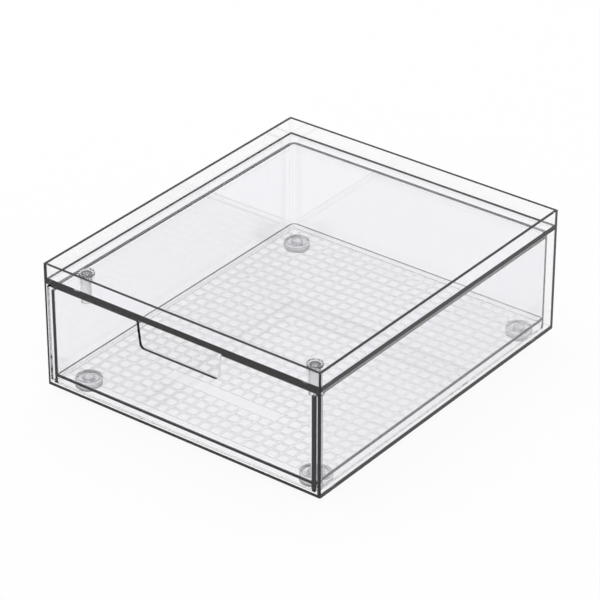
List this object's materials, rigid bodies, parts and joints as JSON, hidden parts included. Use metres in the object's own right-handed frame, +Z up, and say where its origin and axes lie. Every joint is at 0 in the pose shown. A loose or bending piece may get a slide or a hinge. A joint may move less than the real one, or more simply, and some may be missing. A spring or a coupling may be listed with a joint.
{
  "type": "stackable drawer box",
  "caption": "Clear stackable drawer box: an open-fronted case with a raised stacking rim, and a full-width drawer with a finger notch that slides out to its stops.",
  "frame": {"origin": "under the middle of the case, at the height of the surface that the feet stand on", "axes": "+Z up; -Y towards the front, where the drawer comes out; +X to the right of somebody who faces the front"},
  "size_m": [0.3, 0.35, 0.1275],
  "materials": {
    "clear_plastic": "clear and polished, with a moulded grid under the drawer's floor",
    "stop_plastic": "clear, slightly cloudy",
    "foot_plastic": "translucent grey, frosted"
  },
  "bodies": {
    "case": {"case_shell": "clear_plastic", "stop_plug_left": "stop_plastic", "stop_plug_right": "stop_plastic", "foot_front_left": "foot_plastic", "foot_front_right": "foot_plastic", "foot_back_left": "foot_plastic", "foot_back_right": "foot_plastic"},
    "drawer": {"drawer_tray": "clear_plastic"}
  },
  "joints": [
    {"name": "drawer_slide", "type": "slide", "parent": "case", "child": "drawer", "axis": [0, -1, 0], "range_m": [0, 0.309]}
  ]
}
